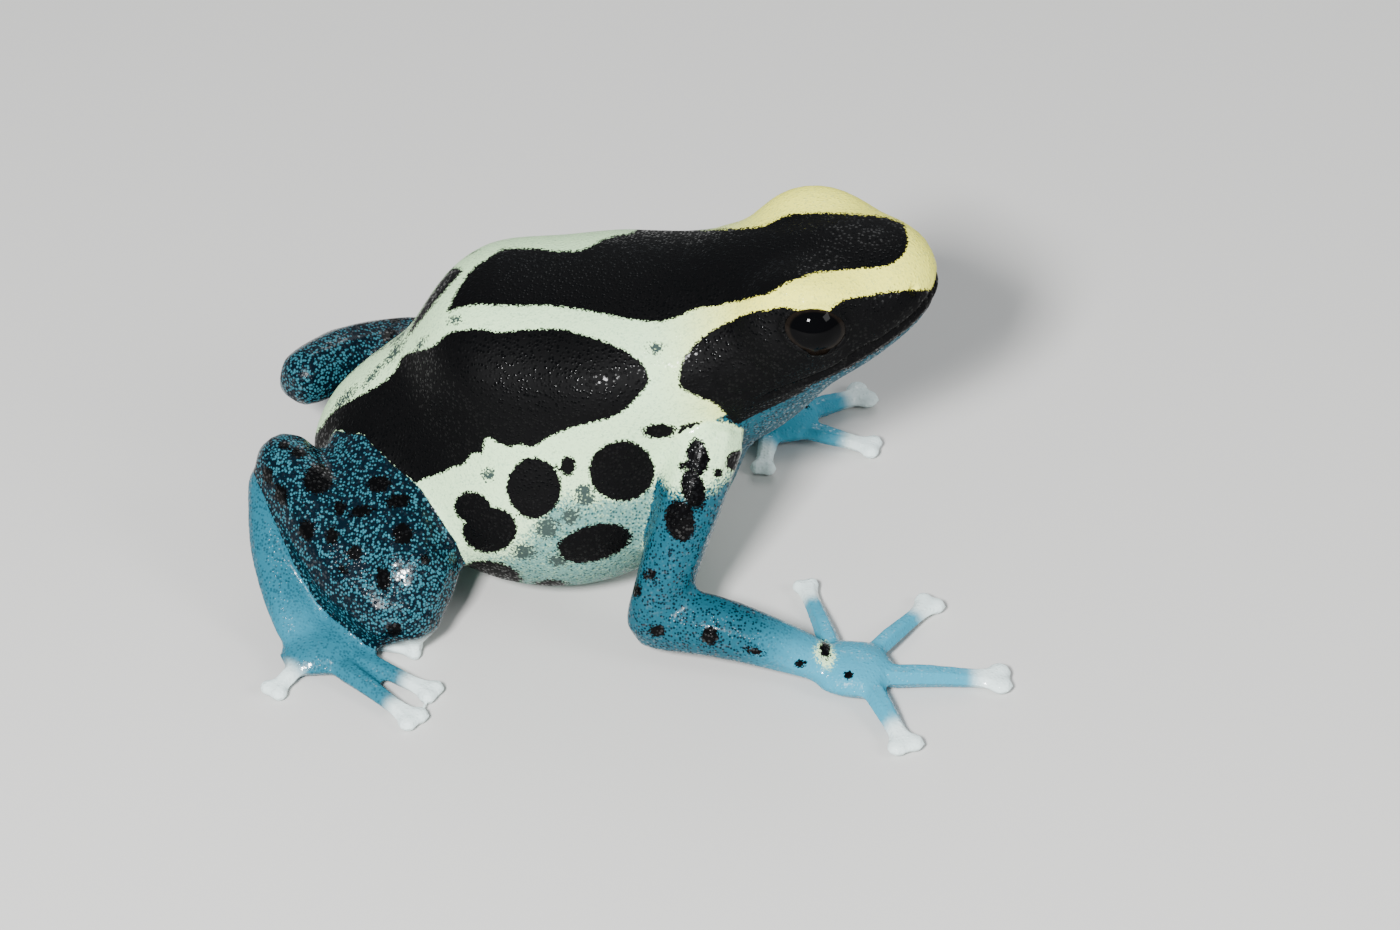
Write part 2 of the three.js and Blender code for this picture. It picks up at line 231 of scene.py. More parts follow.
def softenSkin(skin, near):
    print("smoothing")
    limbs = nearestOf(near, *[name for name in regions if name not in ("trunk", "head")])
    awayFromHead = smoothStep(near["head"], *skinMake["headFade"])
    writeWeights(skin, "body", smoothStep(limbs, *skinMake["bodyFade"]) * awayFromHead)
    writeWeights(skin, "limb", awayFromHead * smoothStep(near["digit"], *skinMake["limbFade"]))
    for weights in ("body", "limb"):
        applyModifier(skin, "SMOOTH", factor=skinMake["smoothing"],
                      iterations=skinMake[weights + "Rounds"], vertex_group=weights)
    skin.vertex_groups.clear()


# sculpting: lids that close on the eyes, the mouth's line, nostrils and eardrums

sculpt = {
    "eyeRadius": 2.62,
    "eyeFacing": (0.22, 0.93, 0.3),
    "lid": {
        "wide": 2.3,                # half sizes of the opening
        "tall": 1.45,
        "thick": 0.08,
        "edge": (1.06, 0.94),       # the lid dips behind the eyeball here, in shares of the opening
        "dip": 0.35,
        "ridge": 0.1,
        "ridgeAt": 1.12,
        "ridgeWide": 0.08,
        "blend": 1.9,               # where the lid ends, in shares of the opening
        "reach": 5,
    },
    "mouth": {
        "tip": (18.76, 23.0),       # x and z
        "pitch": 27,
        "deep": 0.2,
        "half": 0.15,
        "corner": (8.0, 9.4),       # x, where the line sets in
        "lip": 0.07,
        "lipDrop": 0.39,
    },
    "headMiddle": (10.16, 19.4),    # x and z; nostrils and eardrums lie on lines from here
    "headReach": 1.2,
    "nostril": {"toward": (0.81, 0.31, 0.5), "deep": 0.34, "radius": 0.27,
                "rim": 0.06, "rimAt": 0.5, "rimWide": 0.15},
    "eardrum": {"toward": (-0.38, 0.92, 0.0), "radius": 1.25, "deep": 0.07, "groove": 0.2},
}


def sidePoint(point, side):
    return Vector((point[0], point[1] * side, point[2]))


def eyeMiddle(side):
    return boxMiddle("eye_left" if side > 0 else "eye_right")


def eyeTurn(side):
    facing = sidePoint(sculpt["eyeFacing"], side).normalized()
    return np.array(Vector((0, 0, 1)).rotation_difference(facing).to_matrix())


def closeLids(spots):
    lid = sculpt["lid"]
    for side in (-1, 1):
        away = spots - eyeMiddle(side)
        far = np.linalg.norm(away, axis=1)
        across, up, out = (away @ eyeTurn(side)).T
        share = np.hypot(across / lid["wide"], up / lid["tall"])
        hug = sculpt["eyeRadius"] + lid["thick"] - lid["dip"] * smoothStep(share, *lid["edge"])
        hug = hug + lid["ridge"] * hill(share - lid["ridgeAt"], lid["ridgeWide"])
        reach = hug + (far - hug) * smoothStep(share, 1.0, lid["blend"])
        chosen = (out > 0) & (share < lid["blend"]) & (far < lid["reach"])
        spots[chosen] = eyeMiddle(side) + away[chosen] / far[chosen, None] * reach[chosen, None]


def lineDistance(spots, side, toward):
    x, z = sculpt["headMiddle"]
    direction = np.array(sidePoint(toward, side).normalized())
    away = spots - np.array((x, midline, z))
    along = away @ direction
    farOff = 99
    return np.where(along > 0, np.linalg.norm(away - along[:, None] * direction, axis=1), farOff)


def mouthRise(spots):
    x, z = sculpt["mouth"]["tip"]
    slope = math.radians(sculpt["mouth"]["pitch"])
    return (spots[:, 2] - z) * math.cos(slope) - (spots[:, 0] - x) * math.sin(slope)


def carveFace(spots, normals):
    mouth, nostril, drum = sculpt["mouth"], sculpt["nostril"], sculpt["eardrum"]
    rise = mouthRise(spots)
    carve = mouth["deep"] * hill(rise, mouth["half"])
    carve = carve - mouth["lip"] * hill(rise + mouth["lipDrop"], mouth["half"])
    carve = carve * smoothStep(spots[:, 0], *mouth["corner"])
    for side in (-1, 1):
        distance = lineDistance(spots, side, nostril["toward"])
        carve += nostril["deep"] * hill(distance, nostril["radius"])
        carve -= nostril["rim"] * hill(distance - nostril["rimAt"], nostril["rimWide"])
        distance = lineDistance(spots, side, drum["toward"])
        carve += drum["deep"] * hill(distance - drum["radius"], drum["groove"])
    return spots - normals * carve[:, None]


def sculptSkin(skin, near):
    print("sculpting")
    spots = readPoints(skin)
    onHead = near["head"] < sculpt["headReach"]
    shaped = carveFace(spots, readNormals(skin))
    spots[onHead] = shaped[onHead]
    closeLids(spots)
    writePoints(skin, spots)


# markings: outlines on a board that faces the camera, carried along the line of sight onto the skin.
# The frog's left side takes its right side's marks, mirrored, except where the camera sees over the back.

boardScale = cameraView["lens"] / cameraView["sensor"] * photoSize[0] / cameraView["distance"]

# corners of the black bands, in the photo's pixels
bodyBands = {
    "back": [
        (447, 313), (463, 307), (480, 305), (507, 306), (563, 307), (639, 321), (668, 320), (697, 309),
        (722, 305), (766, 294), (783, 285), (803, 277), (824, 272), (860, 269), (883, 267), (899, 260),
        (907, 248), (908, 235), (903, 224), (892, 219), (872, 215), (798, 213), (765, 225), (745, 228),
        (722, 229), (696, 229), (686, 218), (645, 218), (634, 232), (609, 237), (583, 249), (565, 251),
        (528, 248), (508, 248), (495, 253), (472, 269), (459, 287), (451, 303),
    ],
    "rump": [
        (464, 271), (458, 276), (436, 302), (420, 322), (407, 338), (412, 324), (432, 292), (452, 268),
    ],
    "flank": [
        (404, 355), (431, 347), (444, 336), (456, 331), (477, 329), (500, 332), (519, 330), (546, 329),
        (572, 331), (611, 344), (630, 354), (642, 363), (648, 375), (647, 386), (626, 409), (607, 419),
        (584, 424), (563, 431), (549, 438), (534, 447), (519, 444), (507, 447), (486, 438), (483, 453),
        (472, 454), (466, 463), (452, 468), (432, 477), (420, 481), (385, 500), (330, 480), (308, 450),
        (316, 434), (337, 408), (377, 386), (394, 372),
    ],
    "mask": [
        (940, 291), (911, 290), (879, 293), (860, 297), (844, 299), (824, 313), (813, 313), (781, 307),
        (766, 310), (750, 312), (718, 327), (703, 336), (686, 355), (680, 369), (679, 382), (684, 390),
        (716, 405), (732, 424), (740, 430), (754, 425), (801, 394), (818, 380), (836, 374), (854, 366),
        (885, 346), (901, 331), (935, 303),
    ],
}

# the mottled blue part of the belly, in the photo's pixels
bellyPatch = [
    (430, 660), (440, 575), (492, 558), (513, 551), (532, 529), (540, 507), (561, 496), (593, 499),
    (631, 493), (655, 486), (700, 520), (700, 660),
]

# rounded marks: centre in the photo's pixels, half sizes, turn
bodySpots = [
    (534, 488, 1.78, 2.0, 0), (568, 466, 0.55, 0.65, 0), (622, 471, 2.15, 2.0, 0),
    (473, 508, 1.3, 1.05, -20), (490, 530, 1.8, 1.5, 10), (594, 543, 2.5, 1.2, 14),
    (492, 575, 2.0, 0.9, -10), (550, 585, 1.2, 0.35, 0), (659, 431, 1.1, 0.5, 0),
    (698, 433, 1.35, 0.7, 0),
]
bodySmudges = [
    (585, 495, 0.8, 0.7, 0), (488, 475, 0.45, 0.45, 0), (571, 516, 0.6, 0.55, 0),
    (547, 528, 0.75, 0.7, 0), (524, 552, 0.9, 0.5, 0), (655, 348, 0.5, 0.35, 0),
    (455, 320, 0.5, 0.3, 20), (560, 560, 0.7, 0.4, 0), (395, 352, 1.0, 0.25, 51),
    (372, 376, 0.9, 0.22, 51), (345, 398, 1.1, 0.25, 45), (420, 345, 0.7, 0.2, 51),
]
# mint patches in the arm's blue: two on the upper arm, and the first, on the wrist, a pale spot that
# partly paints in a glint
armMintAndGlintPatches = [(825, 655, 0.6, 0.85, 20), (672, 462, 0.8, 1.6, 10), (722, 452, 0.9, 0.8, 0)]
armSpots = [
    (698, 456, 0.75, 1.2, 10), (693, 489, 0.8, 1.4, 15), (680, 521, 1.0, 1.35, 15),
    (737, 461, 0.8, 0.65, 30), (718, 473, 0.33, 0.33, 0), (683, 466, 0.33, 0.33, 0),
    (650, 575, 0.5, 0.35, 0), (710, 636, 0.55, 0.62, -20), (657, 631, 0.55, 0.4, 0),
    (754, 651, 0.75, 0.25, -15), (825, 650, 0.35, 0.6, 10), (800, 664, 0.38, 0.27, 20),
    (849, 675, 0.35, 0.3, 0), (637, 590, 0.3, 0.5, 0),
]
legSpots = [
    (318, 479, 0.95, 1.05, -30), (299, 453, 0.6, 0.35, 0), (285, 445, 0.45, 0.3, 0),
    (281, 495, 0.42, 0.75, 10), (268, 476, 0.35, 0.6, 10), (307, 530, 0.55, 0.7, 0),
    (340, 508, 0.42, 0.52, 0), (362, 512, 0.9, 0.4, 10), (379, 484, 0.8, 0.55, 15),
    (399, 501, 0.9, 0.45, 10), (332, 536, 0.45, 0.6, 0), (403, 534, 0.7, 0.7, 0),
    (355, 553, 0.5, 0.5, 30), (383, 579, 0.5, 0.8, 5), (394, 630, 0.6, 0.45, 20),
    (343, 570, 0.45, 0.3, -20), (425, 560, 0.3, 0.3, 0),
]
speckPatchesAndKneeHighlight = [(410, 590, 3.4, 3.6, 0), (290, 452, 2.6, 2.2, 0)]   # where the leg's light specks stand closest: at the heel the skin's own, at the knee partly a painted highlight

# where one colour fades into the next, from and to
fades = {
    "seam": (-0.3, 0.3),            # across the seams between body, arms and legs
    "upward": (0.1, 0.4),           # share of the skin's normal that points up
    "overBack": (-0.12, 0),         # share of it that points at the camera
    "bodyFacing": (-0.35, -0.1),    # the same, and on the left side for the mirrored normal
    "limbFacing": (-0.15, 0.1),
    "stripeRear": (-10, -7),        # x of the stripe just past the back's horizon
    "stripeFront": (9, 6),
    "chinRear": (6, 9),             # x
    "chin": (1.2, 2.0),             # below the mouth's line
    "smudge": (-0.25, 0.25),
    "throat": (0.0, 0.3),           # below the mouth's line
    "throatRear": (2.5, 4.5),       # x
    "throatFoot": (4.5, 8.5),       # z
    "armPatch": (-0.5, 0.4),
    "armBlue": (14.4, 11.4),        # z
    "downward": (0.3, 0.8),         # share of the skin's normal that points down
    "underTop": (13, 9),            # z
    "belly": (-1.0, 1.0),
    "chestRear": (2, 6),            # x
    "chestTop": (16, 12),           # z
    "yellow": (1.0, 9.5),           # x
    "speckAndKneeLight": (-1.0, 2.0),
    "paleHand": (6, 0.5),           # distance from the hand, tarsus and foot
    "paleTarsus": (1.5, 0.2),
    "paleFoot": (4, 0.5),
    "pad": (2.6, 1.3),              # distance from the tip of a digit
}
marking = {
    "plain": -1.5,                  # how far inside a mark the bare skin counts as
    "deepest": 2,
    "stripeFacing": (-0.24, 0.02),
    "stripeSlope": 8,
    "chinClear": 4,
    "onHead": 0.6,
    "lipHalf": 0.4,
    "lipRear": 11,                  # x
    "onArm": 1,
    "bareHeel": -19,                # x; the far heel shows no spots
    "throatCurve": 0.1,             # the throat's foot rises to the sides
    "armPatch": 0.8,
    "yellowLean": (0.25, 20),       # the yellow reaches further back higher up, from this z
    "specks": (0.46, 0.34),         # share of specks, and how much more in those patches, which at the knee also paint in a highlight
    "paleTarsus": 0.2,
    "paleFoot": 0.3,
    "tip": 1.1,                     # length of a digit's tip
}


def boardPlace(spots, mirrored):
    shown = spots.copy()
    if mirrored:
        shown[:, 1] = midline - np.abs(spots[:, 1] - midline)
    fromCamera = shown - np.array(viewPlace)
    shrink = cameraView["distance"] / (fromCamera @ np.array(viewAway))
    return np.stack([fromCamera @ np.array(axis) * shrink for axis in (viewRight, viewUp)], 1)


def fromPhoto(u, v):
    return (u - photoSize[0] / 2) / boardScale, (photoSize[1] / 2 - v) / boardScale


def roundCorners(corners, cuts=4):
    points = np.array([fromPhoto(u, v) for u, v in corners])
    before, after, beyond = (np.roll(points, shift, 0) for shift in (1, -1, -2))
    share = np.arange(cuts)[:, None, None] / cuts
    curve = 0.5 * (2 * points + (after - before) * share
                   + (2 * before - 5 * points + 4 * after - beyond) * share ** 2
                   + (3 * points - before - 3 * after + beyond) * share ** 3)
    return curve.transpose(1, 0, 2).reshape(-1, 2)


def insideOutline(board, corners):
    line = roundCorners(corners)
    nearest = np.full(len(board), 1e3)
    crossings = np.zeros(len(board), dtype=int)
    for start, end in zip(line, np.roll(line, -1, 0)):
        edge = end - start
        share = np.clip((board - start) @ edge / (edge @ edge + 1e-12), 0, 1)
        nearest = np.minimum(nearest, np.hypot(*(board - start - share[:, None] * edge).T))
        spans = (start[1] > board[:, 1]) != (end[1] > board[:, 1])
        reach = start[0] + (board[:, 1] - start[1]) / (edge[1] if edge[1] else 1e-9) * edge[0]
        crossings += spans & (board[:, 0] < reach)
    return np.where(crossings % 2 == 1, nearest, -nearest)


def insideSpot(board, u, v, wide, tall, turn):
    away = board - np.array(fromPhoto(u, v))
    angle = math.radians(turn)
    along = (away[:, 0] * math.cos(angle) + away[:, 1] * math.sin(angle)) / wide
    across = (away[:, 1] * math.cos(angle) - away[:, 0] * math.sin(angle)) / tall
    return (1 - np.hypot(along, across)) * min(wide, tall)


def insideSpots(board, marks):
    return unionOf([insideSpot(board, *mark) for mark in marks])


def insideBands(board):
    bands = [insideOutline(board, corners) for corners in bodyBands.values()]
    return unionOf(bands + [insideSpots(board, bodySpots)])


def fade(value, name):
    return smoothStep(value, *fades[name])


def drawnOnly(mark, drawn):
    plain = marking["plain"]
    return np.clip(mark, plain, marking["deepest"]) * drawn + plain * (1 - drawn)


def bodyMark(spots, normals, facing, onHead):
    x, y, _ = spots.T
    plain = marking["plain"]
    upward = fade(normals[:, 2], "upward")
    asSeen = np.where(y < midline, 1, fade(facing, "overBack") * upward)
    seen, mirrored = (insideBands(boardPlace(spots, flip)) for flip in (False, True))
    mark = seen * asSeen + mirrored * (1 - asSeen)
    low, high = marking["stripeFacing"]
    farStripe = marking["stripeSlope"] * np.minimum(facing - low, high - facing)
    alongBack = fade(x, "stripeRear") * fade(x, "stripeFront") * (y > midline) * upward
    mark = mark * (1 - alongBack) + np.minimum(mark, -farStripe) * alongBack
    mark = mark - marking["chinClear"] * fade(-mouthRise(spots), "chin") * fade(x, "chinRear")
    lowerLip = marking["lipHalf"] - np.abs(mouthRise(spots) + marking["lipHalf"])
    return np.maximum(mark, np.where(onHead & (x > marking["lipRear"]), lowerLip, plain))


def padZone(spots):
    away = []
    for name in fleshNodes:
        if name.startswith(("finger", "toe")):
            palm = name.replace("finger", "hand").replace("toe", "foot").rsplit("_", 1)[0]
            corners = np.array([vertex.co[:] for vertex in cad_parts[name].data.vertices]) / mm
            far = np.linalg.norm(corners - boxMiddle(palm), axis=1)
            tip = corners[far > far.max() - marking["tip"]].mean(0)
            away.append(np.linalg.norm(spots - tip, axis=1))
    return fade(np.minimum.reduce(away), "pad")


def paintFields(skin, near):
    print("markings")
    spots = readPoints(skin)
    x, y, z = spots.T
    normals = readNormals(skin)
    board = boardPlace(spots, True)
    towards = -np.array(viewAway)
    facing = normals @ towards
    mirrorFacing = facing - 2 * np.where(y < midline, 0, normals[:, 1] * towards[1])
    onHead = near["head"] < marking["onHead"]

    body = nearestOf(near, "trunk", "head")
    leg = nearestOf(near, "thigh", "shank")
    foot = nearestOf(near, "tarsus", "foot")
    arm = nearestOf(near, "upperArm", "forearm", "hand")
    limbShare = fade(body - np.minimum.reduce([leg, foot, arm]), "seam")
    bodyShare = 1 - limbShare
    legShare = fade(np.minimum(foot, body) - leg, "seam") * (arm > marking["onArm"])
    isArm = arm < np.minimum(leg, foot)

    drawnBody = np.where(onHead, 1, fade(mirrorFacing, "bodyFacing"))
    drawnLimb = fade(mirrorFacing, "limbFacing")
    legMark = insideSpots(board, legSpots) - 2 * ((y > midline) & (x < marking["bareHeel"]))
    legMark = np.where(legShare > 0.5, legMark, marking["plain"])
    limbMark = drawnOnly(np.where(isArm, insideSpots(board, armSpots), legMark), drawnLimb)
    trunkMark = drawnOnly(bodyMark(spots, normals, facing, onHead), drawnBody)

    throat = fade(-mouthRise(spots), "throat") * fade(x, "throatRear")
    throat = throat * fade(z - marking["throatCurve"] * (y - midline) ** 2, "throatFoot")
    # the arm's mint patches, the wrist one partly a painted glint, let the mint through the blue
    mintAndGlintPatch = fade(insideSpots(board, armMintAndGlintPatches), "armPatch")
    armBlue = fade(z, "armBlue") * (1 - marking["armPatch"] * mintAndGlintPatch)
    blue = np.where(isArm, armBlue, 1) * limbShare + throat * bodyShare
    under = fade(-normals[:, 2], "downward") * fade(z, "underTop")
    belly = fade(insideOutline(board, bellyPatch), "belly")
    chest = fade(x, "chestRear") * fade(z, "chestTop")
    lean, level = marking["yellowLean"]
    # denser light specks at the heel; at the knee they also paint in the highlight the knee catches
    speckAndKneeLight = unionOf([fade(insideSpot(board, *spot), "speckAndKneeLight") for spot in speckPatchesAndKneeHighlight])
    sparse, more = marking["specks"]
    paleFoot = marking["paleTarsus"] * fade(near["tarsus"], "paleTarsus")
    paleFoot = paleFoot + marking["paleFoot"] * fade(near["foot"], "paleFoot")

    fields = {
        "blackMark": np.where(limbShare > 0.5, limbMark, trunkMark),
        "smudge": fade(insideSpots(board, bodySmudges), "smudge") * drawnLimb * bodyShare,
        "limbZone": limbShare,
        "blueZone": np.clip(blue, 0, 1),
        "legZone": legShare,
        "bellyZone": unionOf([under, belly, chest]) * bodyShare,
        "yellowZone": fade(x + lean * (z - level), "yellow") * bodyShare,
        "speckShare": sparse + more * speckAndKneeLight,
        "paleZone": np.maximum(fade(near["hand"], "paleHand"), paleFoot),
        "padZone": padZone(spots),
    }
    for name, values in fields.items():
        writeField(skin, name, values)


# shader groups: a ragged edge, a speckled colour and wet granules

edges = {
    "cellsPerMetre": 9500,
    "driftPerMetre": 900,
    # level of the field at the edge, raggedness, drift, softness
    "bellyZone": (0.5, 0.8, 0.2, 0.9),
    "blueZone": (0.5, 0.5, 0.2, 0.5),
    "legZone": (0.5, 0.15, 0.2, 0.2),
    "smudge": (0.6, 0.9, 0.2, 0.3),
    "blackMark": (0.0, 0.2, 0.16, 0.08),
}
specks = {
    "dot": (0.3, 0.62),             # fade from a speck's middle, in cells
    "soft": 0.06,
    "patchesPerMetre": 600,
    "patches": 0.9,
    # cells per metre, share that is a speck
    "belly": (5200, 0.5),
    "blue": (5600, 0.56),
    "navy": (5600, None),           # its share is a field of the skin
}
granules = {
    "perMetre": 4200,
    "dome": (0.05, 0.6),            # fade from a granule's middle, in cells
    "lowest": 0.3,
    "finePerMetre": 2600,
    "fine": 0.5,
    "deep": 0.06,
    "strength": 0.6,
    "dry": 0.6,                     # roughness between the wet granules of the body
    "limbDry": 0.24,
    "wet": 0.1,                     # roughness of a wet granule
    "wetDome": (0.3, 0.5),
    "wetShare": 0.6,
    "wetSoft": 0.05,
    "film": 0.1,                    # how strongly the water on them shines
    "limbFilm": 0.8,
    "shine": 0.07,
}


def newGroup(title, inputs, outputs):
    group = bpy.data.node_groups.new(title, "ShaderNodeTree")
    for direction, sockets in (("INPUT", inputs), ("OUTPUT", outputs)):
        for name, kind in sockets.items():
            group.interface.new_socket(name=name, in_out=direction, socket_type="NodeSocket" + kind)
    given = group.nodes.new("NodeGroupInput").outputs
    return group, given, group.nodes.new("NodeGroupOutput").inputs


def feed(tree, value, socket):
    if isinstance(value, bpy.types.NodeSocket):
        tree.links.new(value, socket)
    elif isinstance(value, tuple):
        socket.default_value = (*value, 1)
    else:
        socket.default_value = value


def useGroup(tree, group, **values):
    node = tree.nodes.new("ShaderNodeGroup")
    node.node_tree = group
    for name, value in values.items():
        feed(tree, value, node.inputs[name])
    return node.outputs


def combine(tree, operation, first, second):
    node = tree.nodes.new("ShaderNodeMath")
    node.operation = operation
    feed(tree, first, node.inputs[0])
    feed(tree, second, node.inputs[1])
    return node.outputs[0]


def mixColour(tree, share, first, second):
    node = tree.nodes.new("ShaderNodeMix")
    node.data_type = "RGBA"
    feed(tree, share, node.inputs["Factor"])
    feed(tree, first, node.inputs[6])
    feed(tree, second, node.inputs[7])
    return node.outputs[2]


def softStep(tree, value, low, high):
    node = tree.nodes.new("ShaderNodeMapRange")
    node.interpolation_type = "SMOOTHSTEP"
    for name, amount in (("Value", value), ("From Min", low), ("From Max", high)):
        feed(tree, amount, node.inputs[name])
    return node.outputs["Result"]


def readField(tree, name):
    node = tree.nodes.new("ShaderNodeAttribute")
    node.attribute_name = name
    return node.outputs["Fac"]


def noise(tree, perMetre, detail, roughness):
    place = tree.nodes.new("ShaderNodeTexCoord")
    node = tree.nodes.new("ShaderNodeTexNoise")
    for name, value in (("Scale", perMetre), ("Detail", detail), ("Roughness", roughness)):
        feed(tree, value, node.inputs[name])
    tree.links.new(place.outputs["Object"], node.inputs["Vector"])
    return node.outputs["Fac"]


def cells(tree, perMetre):
    place = tree.nodes.new("ShaderNodeTexCoord")
    node = tree.nodes.new("ShaderNodeTexVoronoi")
    feed(tree, perMetre, node.inputs["Scale"])
    tree.links.new(place.outputs["Object"], node.inputs["Vector"])
    split = tree.nodes.new("ShaderNodeSeparateColor")
    tree.links.new(node.outputs["Color"], split.inputs["Color"])
    return node.outputs["Distance"], split.outputs[0]


def raggedEdgeGroup():
    inputs = {"Field": "Float", "Grain": "Float", "Drift": "Float", "Edge": "Float"}
    group, given, result = newGroup("raggedEdge", inputs, {"Mask": "Float"})
    grain = combine(group, "SUBTRACT", cells(group, edges["cellsPerMetre"])[1], 0.5)
    drift = combine(group, "SUBTRACT", noise(group, edges["driftPerMetre"], 3, 0.6), 0.5)
    moved = combine(group, "ADD", given["Field"], combine(group, "MULTIPLY", grain, given["Grain"]))
    moved = combine(group, "ADD", moved, combine(group, "MULTIPLY", drift, given["Drift"]))
    sharp = combine(group, "DIVIDE", moved, given["Edge"])
    group.links.new(softStep(group, sharp, -0.5, 0.5), result["Mask"])
    return group


def speckleGroup():
    inputs = {"Ground": "Color", "Speck": "Color", "Share": "Float", "Scale": "Float"}
    group, given, result = newGroup("speckle", inputs, {"Color": "Color"})
    distance, chance = cells(group, given["Scale"])
    patch = combine(group, "SUBTRACT", noise(group, specks["patchesPerMetre"], 2, 0.5), 0.5)
    chance = combine(group, "ADD", chance, combine(group, "MULTIPLY", patch, specks["patches"]))
    spare = combine(group, "SUBTRACT", given["Share"], chance)
    present = softStep(group, spare, -specks["soft"], specks["soft"])
    dot = combine(group, "SUBTRACT", 1.0, softStep(group, distance, *specks["dot"]))
    share = combine(group, "MULTIPLY", present, dot)
    group.links.new(mixColour(group, share, given["Ground"], given["Speck"]), result["Color"])
    return group


def granuleGroup():
    inputs = {"Scale": "Float", "Dry": "Float", "Wet": "Float", "Share": "Float"}
    outputs = {"Height": "Float", "Roughness": "Float", "Film": "Float"}
    group, given, result = newGroup("granules", inputs, outputs)
    distance, chance = cells(group, given["Scale"])
    tall = combine(group, "MULTIPLY", chance, 1 - granules["lowest"])
    tall = combine(group, "ADD", tall, granules["lowest"])
    dome = combine(group, "SUBTRACT", 1.0, softStep(group, distance, *granules["dome"]))
    dome = combine(group, "MULTIPLY", dome, tall)
    fine = combine(group, "MULTIPLY", noise(group, granules["finePerMetre"], 3, 0.6), granules["fine"])
    group.links.new(combine(group, "ADD", dome, fine), result["Height"])
    spare = combine(group, "SUBTRACT", given["Share"], chance)
    present = softStep(group, spare, -granules["wetSoft"], granules["wetSoft"])
    wet = combine(group, "SUBTRACT", 1.0, softStep(group, distance, *granules["wetDome"]))
    wet = combine(group, "MULTIPLY", wet, present)
    slope = combine(group, "MULTIPLY", wet, combine(group, "SUBTRACT", given["Wet"], given["Dry"]))
    group.links.new(combine(group, "ADD", given["Dry"], slope), result["Roughness"])
    group.links.new(wet, result["Film"])
    return group


# the skin's one material, with the colours of each zone

paint = {
    "black": (0.0012, 0.0012, 0.0014),
    "mint": (0.60, 0.87, 0.50),
    "yellow": (0.94, 0.91, 0.14),
    "belly": (0.12, 0.26, 0.23),
    "bellySpeck": (0.02, 0.07, 0.075),
    "navy": (0.0015, 0.006, 0.011),
    "navySpeck": (0.03, 0.14, 0.18),
    "blue": (0.010, 0.08, 0.115),
    "blueSpeck": (0.002, 0.010, 0.017),
    "paleBlue": (0.04, 0.27, 0.39),
    "pad": (0.72, 0.84, 0.83),
    "smudge": (0.035, 0.055, 0.05),
}


def skinMaterial():
    print("skin material")
    material = bpy.data.materials.new("frogSkin")
    material.use_nodes = True
    tree = material.node_tree
    shader = tree.nodes["Principled BSDF"]
    ragged = raggedEdgeGroup()
    speckle = speckleGroup()

    def zone(name):
        level, grain, drift, soft = edges[name]
        field = combine(tree, "SUBTRACT", readField(tree, name), level)
        return useGroup(tree, ragged, Field=field, Grain=grain, Drift=drift, Edge=soft)["Mask"]

    def speckled(name):
        perMetre, share = specks[name]
        if share is None:
            share = readField(tree, "speckShare")
        return useGroup(tree, speckle, Ground=paint[name], Speck=paint[name + "Speck"],
                        Share=share, Scale=perMetre)["Color"]

    def bodyOrLimb(body, limb):
        slope = combine(tree, "MULTIPLY", readField(tree, "limbZone"), limb - body)
        return combine(tree, "ADD", body, slope)

    blue = mixColour(tree, readField(tree, "paleZone"), speckled("blue"), paint["paleBlue"])
    colour = mixColour(tree, readField(tree, "yellowZone"), paint["mint"], paint["yellow"])
    for name, tint in (("bellyZone", speckled("belly")), ("blueZone", blue),
                       ("legZone", speckled("navy")), ("smudge", paint["smudge"]),
                       ("blackMark", paint["black"])):
        colour = mixColour(tree, zone(name), colour, tint)
    colour = mixColour(tree, readField(tree, "padZone"), colour, paint["pad"])
    tree.links.new(colour, shader.inputs["Base Color"])

    grain = useGroup(tree, granuleGroup(), Scale=granules["perMetre"], Wet=granules["wet"],
                     Dry=bodyOrLimb(granules["dry"], granules["limbDry"]), Share=granules["wetShare"])
    bump = tree.nodes.new("ShaderNodeBump")
    bump.inputs["Strength"].default_value = granules["strength"]
    bump.inputs["Distance"].default_value = granules["deep"] * mm
    tree.links.new(grain["Height"], bump.inputs["Height"])
    tree.links.new(bump.outputs["Normal"], shader.inputs["Normal"])
    tree.links.new(grain["Roughness"], shader.inputs["Roughness"])
    film = combine(tree, "MULTIPLY", grain["Film"], bodyOrLimb(granules["film"], granules["limbFilm"]))
    tree.links.new(film, shader.inputs["Coat Weight"])
    shader.inputs["Coat Roughness"].default_value = granules["wet"]
    shader.inputs["Specular IOR Level"].default_value = granules["shine"]
    return material


# eyes: a glossy ball with a very dark iris round a wide pupil

eyeMake = {
    "pupil": (0.0012, 0.0012, 0.0015),
    "iris": (0.014, 0.010, 0.007),
    "fleckPerMetre": 3500,
    "pupilWide": 0.62,              # half sizes, in shares of the radius
    "pupilTall": 0.46,
    "pupilEdge": (0.95, 1.08),
    "cornea": 0.035,                # how far it bulges, and where, in shares of the radius
    "corneaFrom": 0.82,
    "roughness": 0.03,
    "shine": 0.06,
    "segments": 64,
    "rings": 40,
}


def eyeMaterial():
    material = bpy.data.materials.new("eye")
    material.use_nodes = True
    tree = material.node_tree
    shader = tree.nodes["Principled BSDF"]
    flecks = noise(tree, eyeMake["fleckPerMetre"], 4, 0.7)
    flecks = mixColour(tree, flecks, eyeMake["pupil"], eyeMake["iris"])
    pupil = softStep(tree, readField(tree, "pupilShare"), *eyeMake["pupilEdge"])
    tree.links.new(mixColour(tree, pupil, eyeMake["pupil"], flecks), shader.inputs["Base Color"])
    shader.inputs["Roughness"].default_value = eyeMake["roughness"]
    shader.inputs["Specular IOR Level"].default_value = eyeMake["shine"]
    return material


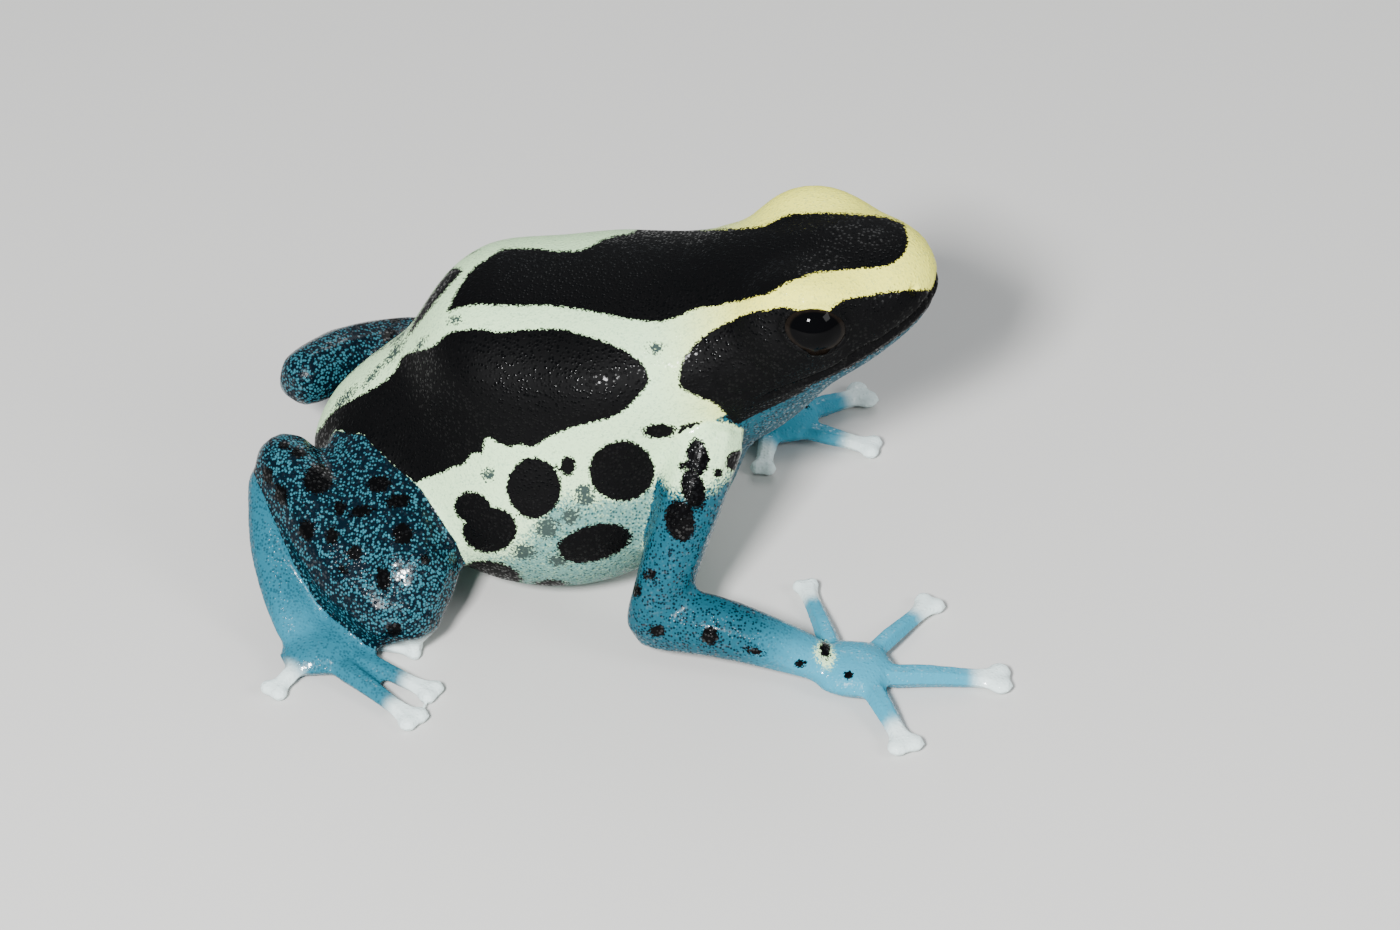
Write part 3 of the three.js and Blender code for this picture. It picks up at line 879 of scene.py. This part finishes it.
def makeEyes():
    print("eyes")
    material = eyeMaterial()
    for side, node in ((1, "eye_left"), (-1, "eye_right")):
        deselectAll()
        bpy.ops.mesh.primitive_uv_sphere_add(
            segments=eyeMake["segments"], ring_count=eyeMake["rings"],
            radius=sculpt["eyeRadius"] * mm, location=Vector(eyeMiddle(side)) * mm)
        eye = bpy.context.object
        eye.name = node.replace("eye", "eyeball")
        bpy.ops.object.transform_apply(location=True, rotation=True, scale=True)
        bpy.ops.object.shade_smooth()
        away = readPoints(eye) - eyeMiddle(side)
        across, up, out = (away @ eyeTurn(side) / sculpt["eyeRadius"]).T
        share = np.hypot(across / eyeMake["pupilWide"], up / eyeMake["pupilTall"])
        wellOutside = 9
        writeField(eye, "pupilShare", np.where(out > 0, share, wellOutside))
        bulge = eyeMake["cornea"] * smoothStep(out, eyeMake["corneaFrom"], 1)
        writePoints(eye, eyeMiddle(side) + away * (1 + bulge[:, None]))
        eye.data.materials.append(material)
        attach(eye, "root")
        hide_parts(node)


# floor and studio light

studio = {
    "floor": (0.62, 0.61, 0.59),
    "floorWide": 4,                 # m
    "floorRoughness": 0.7,
    "sky": (0.85, 0.93, 1.0),
    "skyStrength": 0.36,
    "aim": (0, 0, 0.01),            # m
    "lamps": [                      # place and size in m, power in W
        ((-0.04, -0.265, 0.235), 0.05, 2.8),
        ((0.28, -0.12, 0.22), 0.12, 0.45),
        ((0.02, 0.30, 0.28), 0.20, 0.4),
    ],
}


def makeStage():
    print("floor and lights")
    deselectAll()
    bpy.ops.mesh.primitive_plane_add(size=studio["floorWide"], location=(0, 0, 0))
    floor = bpy.context.object
    floor.name = "floor"
    material = bpy.data.materials.new("floor")
    material.use_nodes = True
    shader = material.node_tree.nodes["Principled BSDF"]
    shader.inputs["Base Color"].default_value = (*studio["floor"], 1)
    shader.inputs["Roughness"].default_value = studio["floorRoughness"]
    floor.data.materials.append(material)
    world = bpy.data.worlds.new("studio")
    bpy.context.scene.world = world
    world.use_nodes = True
    sky = world.node_tree.nodes["Background"]
    sky.inputs["Color"].default_value = (*studio["sky"], 1)
    sky.inputs["Strength"].default_value = studio["skyStrength"]
    for place, size, power in studio["lamps"]:
        aim = Vector(studio["aim"]) - Vector(place)
        turn = aim.to_track_quat("-Z", "Y").to_euler()
        bpy.ops.object.light_add(type="AREA", location=place, rotation=turn)
        lamp = bpy.context.object.data
        lamp.size = size
        lamp.energy = power


makeCamera()
skin = makeSkin()
skinPoints = readPoints(skin)
near = {region: distanceTo(skinPoints, starts) for region, starts in regions.items()}
softenSkin(skin, near)
sculptSkin(skin, near)
paintFields(skin, near)
skin.data.materials.append(skinMaterial())
pick(skin)
bpy.ops.object.shade_smooth()
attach(skin, "root")
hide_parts(*fleshNodes)
makeEyes()
makeStage()
